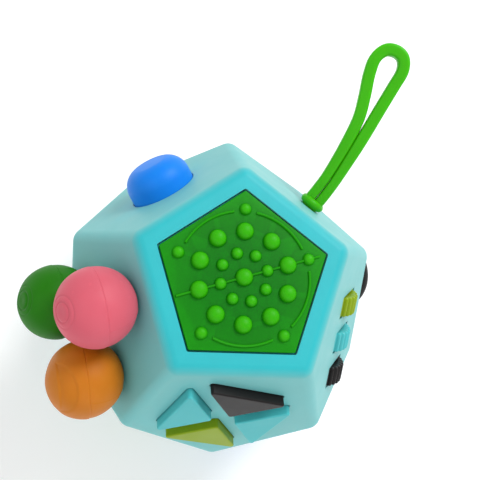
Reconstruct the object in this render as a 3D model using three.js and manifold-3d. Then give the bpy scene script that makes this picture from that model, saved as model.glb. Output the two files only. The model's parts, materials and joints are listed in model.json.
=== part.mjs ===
// A twelve-sided fidget toy: a hollow dodecahedron casing in two halves, with one
// finger toy on each face and the parts inside that hold and spring them.
// Millimetres, +Z up. The origin is the centre of the face that it rests on.
// Every face has its own group: x and y lie in the face, y runs uphill, and z points
// out of the casing, so z = 0 is the casing's surface and negative z is inside.
import * as THREE from 'three';
import { ConvexGeometry } from 'three/addons/geometries/ConvexGeometry.js';
import { mergeVertices } from 'three/addons/utils/BufferGeometryUtils.js';
import Module from 'manifold-3d';

const wasm = await Module();
wasm.setup();

// Driving dimensions
const EDGE = 25;                    // edge of the sharp dodecahedron
const CORNER_RADIUS = 2.8;          // rounding of the casing's edges and corners
const WALL = 2.6;                   // casing wall
const GAP = 0.3;                    // clearance between neighbouring pieces
const INSIDE = -WALL - GAP;         // level of the pieces that sit against the wall's inside
const CUT_REACH = 5;                // how far a cut runs in and out from the surface
const PARTING_GAP = 0.36;           // gap between the casing halves, measured along Z
const SPLIT_REACH = 2;              // how far past the casing the parting surface runs
const IN_RADIUS = (EDGE / 2) * Math.sqrt((25 + 11 * Math.sqrt(5)) / 10);
const SIDE_TILT = THREE.MathUtils.radToDeg(Math.atan(2));
const ARC_STEPS = 3;                // facets across one rounded edge
const ROUND = 20;                   // facets of a mid-sized circle
const LARGE_ROUND = 26;             // facets of the largest circles
const SMALL_ROUND = 10;             // facets of a pin or a screw
const WELD = 1e-4;

const COLOURS = {
  casing: 0x5ac6cf, pad: 0x2f9e1c, blue: 0x1683e6, pink: 0xde6f7e, leaf: 0x3c8c1c,
  orange: 0xd08a30, black: 0x24211f, lime: 0x9cb737, cyan: 0x62d3d6, steel: 0xb9bcc0,
  inner: 0xd9dcda, membrane: 0xc9cfd2, grey: 0x6a6e73,
};

const toy = new THREE.Group();

// ---------------------------------------------------------------- helpers

function turn(degrees) {
  return THREE.MathUtils.degToRad(degrees);
}

function polar(radius, degrees) {
  return new THREE.Vector2(radius * Math.cos(turn(degrees)), radius * Math.sin(turn(degrees)));
}

// A closed geometry as a solid that can be joined and cut, its faces pointing out.
function solid(geometry) {
  const bare = new THREE.BufferGeometry();
  bare.setAttribute('position', geometry.getAttribute('position').clone());
  if (geometry.index) bare.setIndex(geometry.index.clone());
  const merged = mergeVertices(bare, WELD);
  const places = merged.getAttribute('position');
  const corner = [0, 1, 2].map(() => new THREE.Vector3());
  const kept = [];
  let volume = 0;
  for (let i = 0; i < merged.index.count; i += 3) {
    const triple = [0, 1, 2].map((k) => merged.index.getX(i + k));
    if (new Set(triple).size < 3) continue;
    triple.forEach((vertex, k) => corner[k].fromBufferAttribute(places, vertex));
    volume += corner[0].dot(corner[1].cross(corner[2]));
    kept.push(triple);
  }
  const outward = volume > 0 ? kept : kept.map(([a, b, c]) => [a, c, b]);
  return new wasm.Manifold(new wasm.Mesh({
    numProp: 3,
    vertProperties: new Float32Array(places.array),
    triVerts: new Uint32Array(outward.flat()),
  }));
}

function geometryOf(shape) {
  const mesh = shape.getMesh();
  const geometry = new THREE.BufferGeometry();
  geometry.setAttribute('position', new THREE.BufferAttribute(mesh.vertProperties, 3));
  geometry.setIndex(new THREE.BufferAttribute(mesh.triVerts, 1));
  geometry.computeVertexNormals();
  return geometry;
}

function joined(geometries) {
  return geometries.map(solid).reduce((all, next) => all.add(next));
}

function cutFrom(shape, geometries) {
  return geometries.map(solid).reduce((left, tool) => left.subtract(tool), shape);
}

function addPiece(parent, name, shape, colour, roughness = 0.5, metalness = 0) {
  const material = new THREE.MeshStandardMaterial({ color: COLOURS[colour], roughness, metalness });
  const mesh = new THREE.Mesh(geometryOf(shape), material);
  mesh.name = name;
  parent.add(mesh);
  return mesh;
}

// Round bar along z.
function bar(radius, low, high, sides = ROUND, x = 0, y = 0) {
  const geometry = new THREE.CylinderGeometry(radius, radius, high - low, sides);
  return geometry.rotateX(Math.PI / 2).translate(x, y, (low + high) / 2);
}

// Round bar along x or y, centred on a point.
function crossBar(axis, radius, length, z, sides = SMALL_ROUND) {
  const geometry = new THREE.CylinderGeometry(radius, radius, length, sides);
  if (axis === 'x') geometry.rotateZ(Math.PI / 2);
  return geometry.translate(0, 0, z);
}

function block(width, depth, low, high, x = 0, y = 0) {
  return new THREE.BoxGeometry(width, depth, high - low).translate(x, y, (low + high) / 2);
}

function prism(shape, low, high, curveSegments = 4) {
  const options = { depth: high - low, bevelEnabled: false, curveSegments };
  return new THREE.ExtrudeGeometry(shape, options).translate(0, 0, low);
}

// Turned piece about z, from [radius, z] pairs that start and end on the axis or close.
function turned(profile, sides = ROUND) {
  const points = profile.map(([radius, z]) => new THREE.Vector2(radius, z));
  return new THREE.LatheGeometry(points, sides).rotateX(Math.PI / 2);
}

function roundedOutline(corners, cut) {
  const shape = new THREE.Shape();
  corners.forEach((corner, i) => {
    const before = corners[(i + corners.length - 1) % corners.length];
    const after = corners[(i + 1) % corners.length];
    const start = corner.clone().add(before.clone().sub(corner).setLength(cut));
    const end = corner.clone().add(after.clone().sub(corner).setLength(cut));
    if (i === 0) shape.moveTo(start.x, start.y);
    else shape.lineTo(start.x, start.y);
    shape.quadraticCurveTo(corner.x, corner.y, end.x, end.y);
  });
  shape.closePath();
  return shape;
}

class Helix extends THREE.Curve {
  constructor(radius, low, high, turns) {
    super();
    Object.assign(this, { radius, low, high, turns });
  }

  getPoint(t, target = new THREE.Vector3()) {
    const angle = 2 * Math.PI * this.turns * t;
    const z = THREE.MathUtils.lerp(this.low, this.high, t);
    return target.set(this.radius * Math.cos(angle), this.radius * Math.sin(angle), z);
  }
}

function coilSpring(radius, wire, low, high, turns) {
  const section = new THREE.Shape([0, 90, 180, 270].map((angle) => polar(wire, angle)));
  const extrudePath = new Helix(radius, low + wire, high - wire, turns);
  const steps = Math.round(turns * 9);
  return new THREE.ExtrudeGeometry(section, { extrudePath, steps, bevelEnabled: false });
}

// Flat snap ring with a mouth, seen from above.
function snapRing(inner, outer, low, high) {
  const mouth = 28;
  const shape = new THREE.Shape();
  shape.absarc(0, 0, outer, turn(mouth), turn(360 - mouth), false);
  shape.absarc(0, 0, inner, turn(360 - mouth), turn(mouth), true);
  shape.closePath();
  return prism(shape, low, high, 6);
}

// ---------------------------------------------------------------- casing

function faceDirection(tilt, azimuth) {
  const flat = Math.sin(turn(tilt));
  const around = turn(azimuth);
  return new THREE.Vector3(flat * Math.cos(around), flat * Math.sin(around), Math.cos(turn(tilt)));
}

function uphill(tilt, azimuth) {
  if (tilt === 0 || tilt === 180) return new THREE.Vector3(0, 1, 0);
  const normal = faceDirection(tilt, azimuth);
  return new THREE.Vector3(0, 0, 1).addScaledVector(normal, -normal.z).normalize();
}

function makeFace(tilt, azimuth) {
  const z = faceDirection(tilt, azimuth);
  const y = uphill(tilt, azimuth);
  const x = y.clone().cross(z);
  const face = new THREE.Group();
  face.quaternion.setFromRotationMatrix(new THREE.Matrix4().makeBasis(x, y, z));
  face.position.set(0, 0, IN_RADIUS).addScaledVector(z, IN_RADIUS);
  face.userData.upper = tilt < 90;
  face.userData.cuts = [];
  face.userData.adds = [];
  toy.add(face);
  return face;
}

const face = {
  top: makeFace(0, 0),
  backLeft: makeFace(SIDE_TILT, 126),
  left: makeFace(SIDE_TILT, 198),
  front: makeFace(SIDE_TILT, 270),
  right: makeFace(SIDE_TILT, 342),
  backRight: makeFace(SIDE_TILT, 54),
  lowBack: makeFace(180 - SIDE_TILT, 90),
  lowBackLeft: makeFace(180 - SIDE_TILT, 162),
  lowFrontLeft: makeFace(180 - SIDE_TILT, 234),
  lowFrontRight: makeFace(180 - SIDE_TILT, 306),
  lowRight: makeFace(180 - SIDE_TILT, 18),
  bottom: makeFace(180, 0),
};

const centre = new THREE.Vector3(0, 0, IN_RADIUS);
const normals = Object.values(face).map((f) => f.position.clone().sub(centre).normalize());

// The twenty corners, each given as the three face normals that meet there.
function cornerTriples() {
  const meet = (a, b) => Math.abs(a.dot(b) - 1 / Math.sqrt(5)) < 0.01;
  const found = [];
  for (let i = 0; i < normals.length; i += 1) {
    for (let j = i + 1; j < normals.length; j += 1) {
      for (let k = j + 1; k < normals.length; k += 1) {
        const [a, b, c] = [normals[i], normals[j], normals[k]];
        if (meet(a, b) && meet(b, c) && meet(a, c)) found.push([a, b, c]);
      }
    }
  }
  return found;
}

function cornerAt(triple, inRadius) {
  const sum = new THREE.Vector3();
  triple.forEach((normal) => sum.add(normal));
  return sum.multiplyScalar(inRadius / sum.dot(triple[0])).add(centre);
}

function sharpDodecahedron(inRadius) {
  return new ConvexGeometry(cornerTriples().map((triple) => cornerAt(triple, inRadius)));
}

function roundedDodecahedron() {
  const points = [];
  for (const triple of cornerTriples()) {
    const middle = cornerAt(triple, IN_RADIUS - CORNER_RADIUS);
    for (let i = 0; i <= ARC_STEPS; i += 1) {
      for (let j = 0; j <= ARC_STEPS - i; j += 1) {
        const direction = triple[0].clone().multiplyScalar(i);
        direction.addScaledVector(triple[1], j);
        direction.addScaledVector(triple[2], ARC_STEPS - i - j);
        points.push(middle.clone().addScaledVector(direction.normalize(), CORNER_RADIUS));
      }
    }
  }
  return new ConvexGeometry(points);
}

// The space above or below the zigzag parting surface, which follows the ten belt edges.
function halfSpace(upper) {
  const sign = upper ? 1 : -1;
  const belt = cornerTriples().map((triple) => cornerAt(triple, IN_RADIUS).sub(centre));
  const around = belt.filter((corner) => Math.abs(corner.z) < EDGE / 2);
  around.sort((a, b) => Math.atan2(a.y, a.x) - Math.atan2(b.y, b.x));
  const shift = new THREE.Vector3(0, 0, sign * (PARTING_GAP / 2)).add(centre);
  const ring = around.map((corner) => corner.clone().multiplyScalar(SPLIT_REACH).add(shift));
  const pole = new THREE.Vector3(0, 0, sign * 4 * IN_RADIUS).add(centre);
  const places = [];
  ring.forEach((corner, i) => {
    const next = ring[(i + 1) % ring.length];
    places.push(...shift.toArray(), ...corner.toArray(), ...next.toArray());
    places.push(...pole.toArray(), ...next.toArray(), ...corner.toArray());
  });
  const geometry = new THREE.BufferGeometry();
  geometry.setAttribute('position', new THREE.BufferAttribute(new Float32Array(places), 3));
  return geometry;
}

function addCasingHalf(name, upper) {
  let half = solid(roundedDodecahedron()).subtract(solid(sharpDodecahedron(IN_RADIUS - WALL)));
  half = half.intersect(solid(halfSpace(upper)));
  const faces = Object.values(face).filter((f) => f.userData.upper === upper);
  for (const f of faces) {
    f.updateMatrixWorld();
    for (const piece of f.userData.adds) {
      half = half.add(solid(piece.clone().applyMatrix4(f.matrixWorld)));
    }
  }
  for (const f of faces) {
    for (const piece of f.userData.cuts) {
      half = half.subtract(solid(piece.clone().applyMatrix4(f.matrixWorld)));
    }
  }
  addPiece(toy, name, half, 'casing', 0.42);
}

// ---------------------------------------------------------------- top: tactile pad

const PAD_RADIUS = 16.5;            // centre to corner of the pad
const PAD_CORNER_CUT = 0.6;
const PAD_THICKNESS = 1.2;
const POCKET_DEPTH = 1.5;
const BIG_DOME = { radius: 1.6, height: 1.3, ring: 8.6, count: 10, start: 90 };
const SMALL_DOME = { radius: 1.1, height: 0.9, ring: 4.55, count: 8, start: 18 };
const OUTER_DOME = { radius: 1.1, height: 0.9, ring: 12.8, count: 5, start: 90 };
const RIDGE_WIDTH = 0.45;
const RIDGE_HEIGHT = 0.4;
const RIDGE_RING = 12.4;
const RIDGE_SPAN = 25;
const LINE = { angle: 18, from: -12.9, to: 15 };
const PEG = { ring: 11, radius: 1.2, head: 1.9, hole: 1.5 };
const SUNK = 0.3;                   // how deep domes and ridges start inside the sheet

function pentagon(radius, cut) {
  const corners = [0, 1, 2, 3, 4].map((i) => polar(radius, 90 + 72 * i));
  return roundedOutline(corners, cut);
}

// A low dome: the cap of a sphere, sunk a little into the sheet below it.
function dome(radius, height, x, y, sides = 7) {
  const profile = [[0, -SUNK], [radius, -SUNK]];
  profile.push([radius * 0.6, height * 0.8], [0, height]);
  return turned(profile, sides).translate(x, y, 0);
}

function domeRing({ radius, height, ring, count, start }) {
  return Array.from({ length: count }, (_, i) => {
    const spot = polar(ring, start + (360 / count) * i);
    return dome(radius, height, spot.x, spot.y);
  });
}

function ridgeArc(middle) {
  const shape = new THREE.Shape();
  const [from, to] = [turn(middle - RIDGE_SPAN), turn(middle + RIDGE_SPAN)];
  shape.absarc(0, 0, RIDGE_RING + RIDGE_WIDTH / 2, from, to, false);
  shape.absarc(0, 0, RIDGE_RING - RIDGE_WIDTH / 2, to, from, true);
  shape.closePath();
  return prism(shape, -SUNK, RIDGE_HEIGHT, 6);
}

function addTactilePad() {
  const pieces = [prism(pentagon(PAD_RADIUS, PAD_CORNER_CUT), -PAD_THICKNESS, 0)];
  pieces.push(...domeRing(BIG_DOME), ...domeRing(SMALL_DOME), ...domeRing(OUTER_DOME));
  pieces.push(dome(BIG_DOME.radius, BIG_DOME.height, 0, 0));
  pieces.push(...[54, 126, 270, 342].map(ridgeArc));
  const middle = (LINE.from + LINE.to) / 2;
  const line = block(LINE.to - LINE.from, RIDGE_WIDTH, -SUNK, RIDGE_HEIGHT, middle, 0);
  pieces.push(line.rotateZ(turn(LINE.angle)));
  for (let i = 0; i < 5; i += 1) {
    const spot = polar(PEG.ring, 90 + 72 * i);
    const profile = [[0, -4], [PEG.radius, -4], [PEG.head, INSIDE], [PEG.radius, INSIDE]];
    profile.push([PEG.radius, -1], [0, -1]);
    pieces.push(turned(profile, 8).translate(spot.x, spot.y, 0));
    face.top.userData.cuts.push(bar(PEG.hole, -CUT_REACH, 0, 8, spot.x, spot.y));
  }
  addPiece(face.top, 'touch_pad', joined(pieces), 'pad', 0.45);
  const pocket = pentagon(PAD_RADIUS + 0.55, PAD_CORNER_CUT + 0.2);
  face.top.userData.cuts.push(prism(pocket, -POCKET_DEPTH, CUT_REACH));
}

// ---------------------------------------------------------------- back left: push button

const BUTTON = {
  y: 0.5, radius: 6.75, height: 6.25, wallHeight: 2, fillet: 4.2, flange: 8.2, hollow: 4.9,
};

function addPushButton() {
  const f = new THREE.Group();
  f.position.y = BUTTON.y;
  face.backLeft.add(f);
  const { radius, height, wallHeight, fillet, flange, hollow } = BUTTON;
  const outline = [[0, -4.1], [1.2, -4.1], [1.2, 4.4], [hollow, 4.4], [hollow, -4.4]];
  outline.push([flange, -4.4], [flange, INSIDE], [radius, INSIDE], [radius, wallHeight]);
  for (let i = 1; i <= 4; i += 1) {
    const angle = turn(i * 20);
    const x = radius - fillet + fillet * Math.cos(angle);
    outline.push([x, wallHeight + fillet * Math.sin(angle)]);
  }
  outline.push([0, height]);
  addPiece(f, 'push_button', solid(turned(outline, LARGE_ROUND)), 'blue', 0.4);
  const cup = [[0, -8.6], [9.6, -8.6], [9.6, INSIDE], [8.6, INSIDE], [8.6, -7.6], [0, -7.6]];
  addPiece(f, 'button_housing', solid(turned(cup, ROUND)), 'inner', 0.6);
  const spring = coilSpring(3.5, 0.32, -7.3, 4.1, 5);
  addPiece(f, 'button_spring', solid(spring), 'steel', 0.3, 1);
  const snap = [[0, -6.5], [1.6, -6.7], [2.7, -7.3], [2.45, -7.3], [1.5, -6.9], [0, -6.75]];
  addPiece(f, 'click_dome', solid(turned(snap, 16)), 'steel', 0.25, 1);
  face.backLeft.userData.cuts.push(bar(radius + GAP, -CUT_REACH, CUT_REACH, LARGE_ROUND, 0, BUTTON.y));
}

// ---------------------------------------------------------------- left: three spinning balls

const BALL = { radius: 7.4, height: 6.6, ring: 9.6, start: 103.5, flat: 0.35 };
const BALL_NAMES = [['pink', 'pink'], ['green', 'leaf'], ['orange', 'orange']];
const STEM = 1.8;
const GROOVE = 1.0;
const CLIP_SEAT = -4.1;             // lower side of the groove, whose upper side is at INSIDE

// A stem through the wall, with a groove for a snap ring just inside it.
function stemProfile(top) {
  const profile = [[0, -5], [STEM, -5], [STEM, CLIP_SEAT], [GROOVE, CLIP_SEAT]];
  profile.push([GROOVE, INSIDE], [STEM, INSIDE], [STEM, top], [0, top]);
  return profile;
}

function stemRing() {
  return snapRing(GROOVE + GAP, 3.1, -3.8, -3.2);
}

function ballProfile() {
  const { radius, height, flat } = BALL;
  const first = Math.asin((flat - height) / radius);
  const steps = 7;
  const profile = [[0, flat]];
  for (let i = 0; i <= steps; i += 1) {
    const angle = first + ((Math.PI / 2 - first) * i) / steps;
    profile.push([i === steps ? 0 : radius * Math.cos(angle), height + radius * Math.sin(angle)]);
  }
  return profile;
}

function addBalls() {
  BALL_NAMES.forEach(([name, colour], i) => {
    const spot = polar(BALL.ring, BALL.start + 120 * i);
    const place = new THREE.Group();
    place.position.set(spot.x, spot.y, 0);
    face.left.add(place);
    const ball = joined([turned(ballProfile(), 18), turned(stemProfile(1), SMALL_ROUND)]);
    addPiece(place, `ball_${name}`, ball, colour, 0.6);
    addPiece(place, `ball_clip_${name}`, solid(stemRing()), 'steel', 0.3, 1);
    face.left.userData.cuts.push(bar(STEM + GAP, -CUT_REACH, CUT_REACH, SMALL_ROUND, spot.x, spot.y));
  });
}

// ---------------------------------------------------------------- front: four corner keys

const KEY = { half: 8.4, reach: 10.8, height: 1.9, foot: -3.4, cut: 1.2, start: 72 };
const LIP = { grow: 0.8, foot: -4, width: 9, length: 13, middle: 8.9 };
const KEY_CENTRE = { x: -0.85, y: 0.5 };
const KEY_NAMES = [['black', 'black'], ['left', 'cyan'], ['lime', 'lime'], ['right', 'cyan']];
const KEYPAD_RADIUS = 11.8;

// A right-angled triangle whose long side faces out and whose corner faces the centre.
function keyOutline(grow) {
  const slant = grow * (1 + Math.SQRT2);
  const out = KEY.reach + grow;
  const corners = [new THREE.Vector2(out, -KEY.half - slant)];
  corners.push(new THREE.Vector2(out, KEY.half + slant));
  corners.push(new THREE.Vector2(KEY.reach - KEY.half - grow * Math.SQRT2, 0));
  return roundedOutline(corners, KEY.cut + grow);
}

function addKeys() {
  const f = face.front;
  const cluster = new THREE.Group();
  cluster.position.set(KEY_CENTRE.x, KEY_CENTRE.y, 0);
  f.add(cluster);
  KEY_NAMES.forEach(([name, colour], i) => {
    const around = turn(KEY.start + 90 * i);
    const cap = prism(keyOutline(0), KEY.foot, KEY.height, 3);
    const lip = solid(prism(keyOutline(LIP.grow), LIP.foot, INSIDE, 2));
    const lipEnd = solid(block(LIP.width, LIP.length, LIP.foot - 1, 0, LIP.middle, 0));
    const key = solid(cap).add(lip.intersect(lipEnd));
    const holder = new THREE.Group();
    holder.rotation.z = around;
    cluster.add(holder);
    addPiece(holder, `key_${name}`, key, colour, 0.4);
    const hole = prism(keyOutline(GAP), -CUT_REACH, CUT_REACH, 3).rotateZ(around);
    f.userData.cuts.push(hole.translate(KEY_CENTRE.x, KEY_CENTRE.y, 0));
  });
  const sheet = [bar(KEYPAD_RADIUS, -6.2, -5.4)];
  KEY_NAMES.forEach((_, i) => {
    const spot = polar(7.4, KEY.start + 90 * i);
    const bump = [[0, -5.8], [2.4, -5.8], [2.4, -5.3], [1.5, -4.4], [0, -4.4]];
    sheet.push(turned(bump, SMALL_ROUND).translate(spot.x, spot.y, 0));
  });
  const membrane = cutFrom(joined(sheet), [bar(1.9, -8, 0, SMALL_ROUND)]);
  addPiece(cluster, 'keypad_membrane', membrane, 'membrane', 0.6);
  const plate = cutFrom(solid(bar(KEYPAD_RADIUS, -7.7, -6.5)), [bar(0.9, -9, 0, SMALL_ROUND)]);
  addPiece(cluster, 'keypad_plate', plate, 'inner', 0.6);
  const screw = [[0, -9.2], [1.7, -9.2], [1.7, -8], [0.6, -8], [0.6, -4], [0, -3.6]];
  addPiece(cluster, 'keypad_screw', solid(turned(screw, SMALL_ROUND)), 'steel', 0.3, 1);
  f.userData.adds.push(bar(1.6, -6.2, -WALL + 0.5, SMALL_ROUND, KEY_CENTRE.x, KEY_CENTRE.y));
  f.userData.cuts.push(bar(0.9, -7, -3.2, SMALL_ROUND, KEY_CENTRE.x, KEY_CENTRE.y));
}

// ---------------------------------------------------------------- right: three gear wheels

const GEAR = { radius: 6.4, root: 5.9, width: 4, pitch: 7.7, teeth: 32, proud: 1.8 };
const GEAR_ROW = { x: -1.1, y: -1.8, turned: 30 };
const AXLE = 1.0;
const CRADLE = { depth: -12.5, floor: 1, width: 5, reach: 11.4, endCheek: 1.2, cheek: 1.8 };
const GEAR_NAMES = [['black', 'black'], ['cyan', 'cyan'], ['lime', 'lime']];

function cog() {
  const shape = new THREE.Shape();
  const step = 360 / GEAR.teeth;
  for (let i = 0; i < GEAR.teeth; i += 1) {
    const corners = [[GEAR.root, 0], [GEAR.radius, 0.35], [GEAR.radius, 0.65]];
    corners.forEach(([radius, share], k) => {
      const spot = polar(radius, step * (i + share));
      if (i === 0 && k === 0) shape.moveTo(spot.x, spot.y);
      else shape.lineTo(spot.x, spot.y);
    });
  }
  shape.closePath();
  const wheel = solid(prism(shape, -GEAR.width / 2, GEAR.width / 2));
  return cutFrom(wheel, [bar(AXLE + GAP, -5, 5, SMALL_ROUND)]);
}

// A bar along the axle, placed by its middle on the axle.
function alongAxle(radius, length, middle, sides) {
  const depth = GEAR.proud - GEAR.radius;
  return bar(radius, -length / 2, length / 2, sides).rotateY(Math.PI / 2).translate(middle, 0, depth);
}

function addGears() {
  const f = face.right;
  const row = new THREE.Group();
  row.position.set(GEAR_ROW.x, GEAR_ROW.y, 0);
  row.rotation.z = turn(GEAR_ROW.turned);
  f.add(row);
  const depth = GEAR.proud - GEAR.radius;
  GEAR_NAMES.forEach(([name, colour], i) => {
    const middle = (i - 1) * GEAR.pitch;
    const holder = new THREE.Group();
    holder.position.set(middle, 0, depth);
    holder.rotation.y = Math.PI / 2;
    row.add(holder);
    addPiece(holder, `gear_${name}`, cog(), colour, 0.4);
    const slot = alongAxle(GEAR.radius + 0.4, GEAR.width + 0.8, middle, ROUND);
    slot.rotateZ(turn(GEAR_ROW.turned));
    f.userData.cuts.push(slot.translate(GEAR_ROW.x, GEAR_ROW.y, 0));
  });
  addPiece(row, 'gear_axle', solid(alongAxle(AXLE, 23.6, 0, SMALL_ROUND)), 'steel', 0.25, 1);
  const cheeks = [-1.5, -0.5, 0.5, 1.5].map((k) => {
    const atEnd = Math.abs(k) > 1;
    const thickness = atEnd ? CRADLE.endCheek : CRADLE.cheek;
    const place = atEnd ? Math.sign(k) * (CRADLE.reach - thickness / 2) : k * GEAR.pitch;
    return block(thickness, CRADLE.width, CRADLE.depth, INSIDE, place, 0);
  });
  const { reach, width, depth: low, floor } = CRADLE;
  const base = block(2 * reach, width, low, low + floor);
  const cradle = cutFrom(joined([base, ...cheeks]), [alongAxle(AXLE + GAP, 30, 0, SMALL_ROUND)]);
  addPiece(row, 'gear_cradle', cradle, 'inner', 0.6);
}

// ---------------------------------------------------------------- back right: strap loop

const STRAP = {
  x: -2.7, y: 0.5, flange: 2.65, flangeTop: 2.2, thickness: 3, base: 4.3, strand: 2.4, fork: 18.2,
};
const STRAP_PIVOT = STRAP.flangeTop + GAP + STRAP.thickness / 2;
// Middle of the folded band as [x, height over the pivot]: up one strand, over and down.
const STRAP_ROUTE = [
  [-1.1, 0], [-0.9, 4], [-0.1, 11], [0.6, 16], [1.3, 20.5], [2.1, 26], [2.7, 29.6],
  [4.2, 31.6], [6.2, 31.9], [8.1, 30.8], [8.7, 28.2], [7.6, 25], [5.6, 21.2], [3.6, 16.8],
  [2.3, 11], [1.3, 4], [1.1, 0],
];
const STRAP_STEPS = 44;

// The two strands lie side by side up to the fork and then open round an eye.
function strapOutline() {
  const route = new THREE.SplineCurve(STRAP_ROUTE.map(([x, z]) => new THREE.Vector2(x, z)));
  const edge = (distance) => route.getPoints(STRAP_STEPS).map((spot, i) => {
    const along = route.getTangent(i / STRAP_STEPS);
    return new THREE.Vector2(spot.x - along.y * distance, spot.y + along.x * distance);
  });
  const shape = new THREE.Shape(edge(STRAP.strand / 2).reverse());
  shape.holes.push(new THREE.Path(edge(-STRAP.strand / 2).filter((spot) => spot.y > STRAP.fork)));
  return shape;
}

function addStrap() {
  const f = face.backRight;
  const place = new THREE.Group();
  place.position.set(STRAP.x, STRAP.y, 0);
  f.add(place);
  const foot = stemProfile(GAP).slice(0, -1);
  foot.push([STRAP.flange, GAP], [STRAP.flange, 1.7], [2.2, STRAP.flangeTop]);
  foot.push([0, STRAP.flangeTop]);
  addPiece(place, 'strap_foot', solid(turned(foot, 16)), 'pad', 0.5);
  addPiece(place, 'strap_clip', solid(stemRing()), 'steel', 0.3, 1);
  const band = prism(strapOutline(), -STRAP.thickness / 2, STRAP.thickness / 2);
  const heel = crossBar('x', STRAP.thickness / 2, STRAP.base, 0, SMALL_ROUND);
  const hinge = new THREE.Group();
  hinge.position.z = STRAP_PIVOT;
  place.add(hinge);
  addPiece(hinge, 'strap_loop', joined([band.rotateX(Math.PI / 2), heel]), 'pad', 0.5);
  f.userData.cuts.push(bar(STEM + GAP, -CUT_REACH, CUT_REACH, SMALL_ROUND, STRAP.x, STRAP.y));
}

// ---------------------------------------------------------------- lower right: joystick

const STICK = {
  x: -0.8, y: 1, radius: 9.3, round: 3, height: 10, bottom: 2.4, neck: 4.2, neckTop: 5.4,
  pivot: -4.5, stem: 2, socket: 10.6, hole: 4.6,
};

function addJoystick() {
  const f = face.lowRight;
  const { radius, round, height, neck, neckTop, bottom, pivot, stem, socket } = STICK;
  const place = new THREE.Group();
  place.position.set(STICK.x, STICK.y, 0);
  f.add(place);
  const cap = [[0, socket], [stem + GAP, socket], [stem + GAP, bottom], [neck, bottom]];
  cap.push([neck, neckTop]);
  const steps = 5;
  for (let i = 0; i <= steps; i += 1) {
    const spot = polar(round, -90 + (180 * i) / steps);
    cap.push([radius - round + spot.x, height + spot.y]);
  }
  cap.push([4.6, 12.4], [0, 12]);
  addPiece(place, 'joystick_cap', solid(turned(cap, ROUND)), 'black', 0.55);
  const lever = [[0, -7.6], [3.2, -7.6], [3.2, -7.1], [1.5, -6.9], [1.5, -2.5], [stem, -1]];
  lever.push([stem, socket - GAP], [0, socket - GAP]);
  const pins = crossBar('x', 0.6, 7.8, pivot);
  addPiece(place, 'joystick_lever', joined([turned(lever, SMALL_ROUND), pins]), 'grey', 0.5);
  const ring = [[2.9, -5.9], [4.3, -5.9], [4.3, -3.1], [2.9, -3.1], [2.9, -5.9]];
  const gimbal = cutFrom(joined([turned(ring, 20), crossBar('y', 0.55, 11.8, pivot)]), [
    bar(2.9, -7, -2, 20), crossBar('x', 0.9, 12, pivot),
  ]);
  addPiece(place, 'joystick_gimbal', gimbal, 'inner', 0.5);
  const cup = [[0, -10.9], [6.4, -10.9], [6.4, -2.9], [5.2, -2.9], [5.2, -9.9], [0, -9.9]];
  const holder = cutFrom(solid(turned(cup, ROUND)), [crossBar('y', 0.85, 14, pivot)]);
  addPiece(place, 'joystick_housing', holder, 'inner', 0.6);
  const spring = coilSpring(2.8, 0.25, -9.6, -7.9, 2.5);
  addPiece(place, 'joystick_spring', solid(spring), 'steel', 0.3, 1);
  f.userData.cuts.push(bar(STICK.hole, -CUT_REACH, CUT_REACH, ROUND, STICK.x, STICK.y));
}

// ---------------------------------------------------------------- lower back: spin dial

const DIAL = { radius: 9.5, low: 0.4, high: 3.2, notches: 12 };

function addDial() {
  const f = face.lowBack;
  const { radius, low, high, notches } = DIAL;
  const rim = [[0, low], [radius - 0.4, low], [radius, low + 0.4], [radius, high - 0.7]];
  rim.push([radius - 0.7, high], [6, high], [4.5, high - 0.8], [0, high - 1]);
  const notch = Array.from({ length: notches }, (_, i) => {
    const spot = polar(radius + 0.5, (360 / notches) * i);
    return bar(1.1, -1, 5, 6, spot.x, spot.y);
  });
  const knob = cutFrom(joined([turned(rim, LARGE_ROUND), turned(stemProfile(1), SMALL_ROUND)]), notch);
  addPiece(f, 'spin_dial', knob, 'orange', 0.45);
  addPiece(f, 'dial_clip', solid(stemRing()), 'steel', 0.3, 1);
  f.userData.cuts.push(bar(STEM + GAP, -CUT_REACH, CUT_REACH, SMALL_ROUND));
}

// ---------------------------------------------------------------- lower back left: slider

const SLIDE = { travel: 3.5, knob: 6.4, neck: 2.4 };

function addSlider() {
  const f = face.lowBackLeft;
  const { travel, knob, neck } = SLIDE;
  const corners = [[1, 1], [-1, 1], [-1, -1], [1, -1]];
  const grip = corners.map(([x, y]) => new THREE.Vector2((x * knob) / 2, y * 3.4));
  const ribs = [-1.6, 0, 1.6].map((x) => block(0.6, 5.4, 1.8, 2.9, x, 0));
  const pieces = [prism(roundedOutline(grip, 1.4), 0.35, 2.4), ...ribs];
  pieces.push(block(neck, neck, -4.6, 1));
  addPiece(f, 'slide_knob', joined(pieces), 'pink', 0.45);
  const carriage = cutFrom(solid(block(8, 7, -4.2, -2.95)), [
    block(neck + 2 * GAP, neck + 2 * GAP, -6, 0),
  ]);
  addPiece(f, 'slide_carriage', carriage, 'inner', 0.6);
  const width = 2 * travel + 8 + 2 * GAP;
  const tray = cutFrom(solid(block(width + 2.4, 10, -6.4, INSIDE)), [
    block(width, 7.6, -5.2, 0),
  ]);
  addPiece(f, 'slide_track', tray, 'inner', 0.6);
  f.userData.cuts.push(block(2 * travel + neck + 2 * GAP, neck + 2 * GAP, -CUT_REACH, CUT_REACH));
}

// ---------------------------------------------------------------- lower front left: rocker

const ROCKER = { radius: 6.9, pivot: -1.6, half: 4.2, length: 14, pin: 0.8 };

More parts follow.
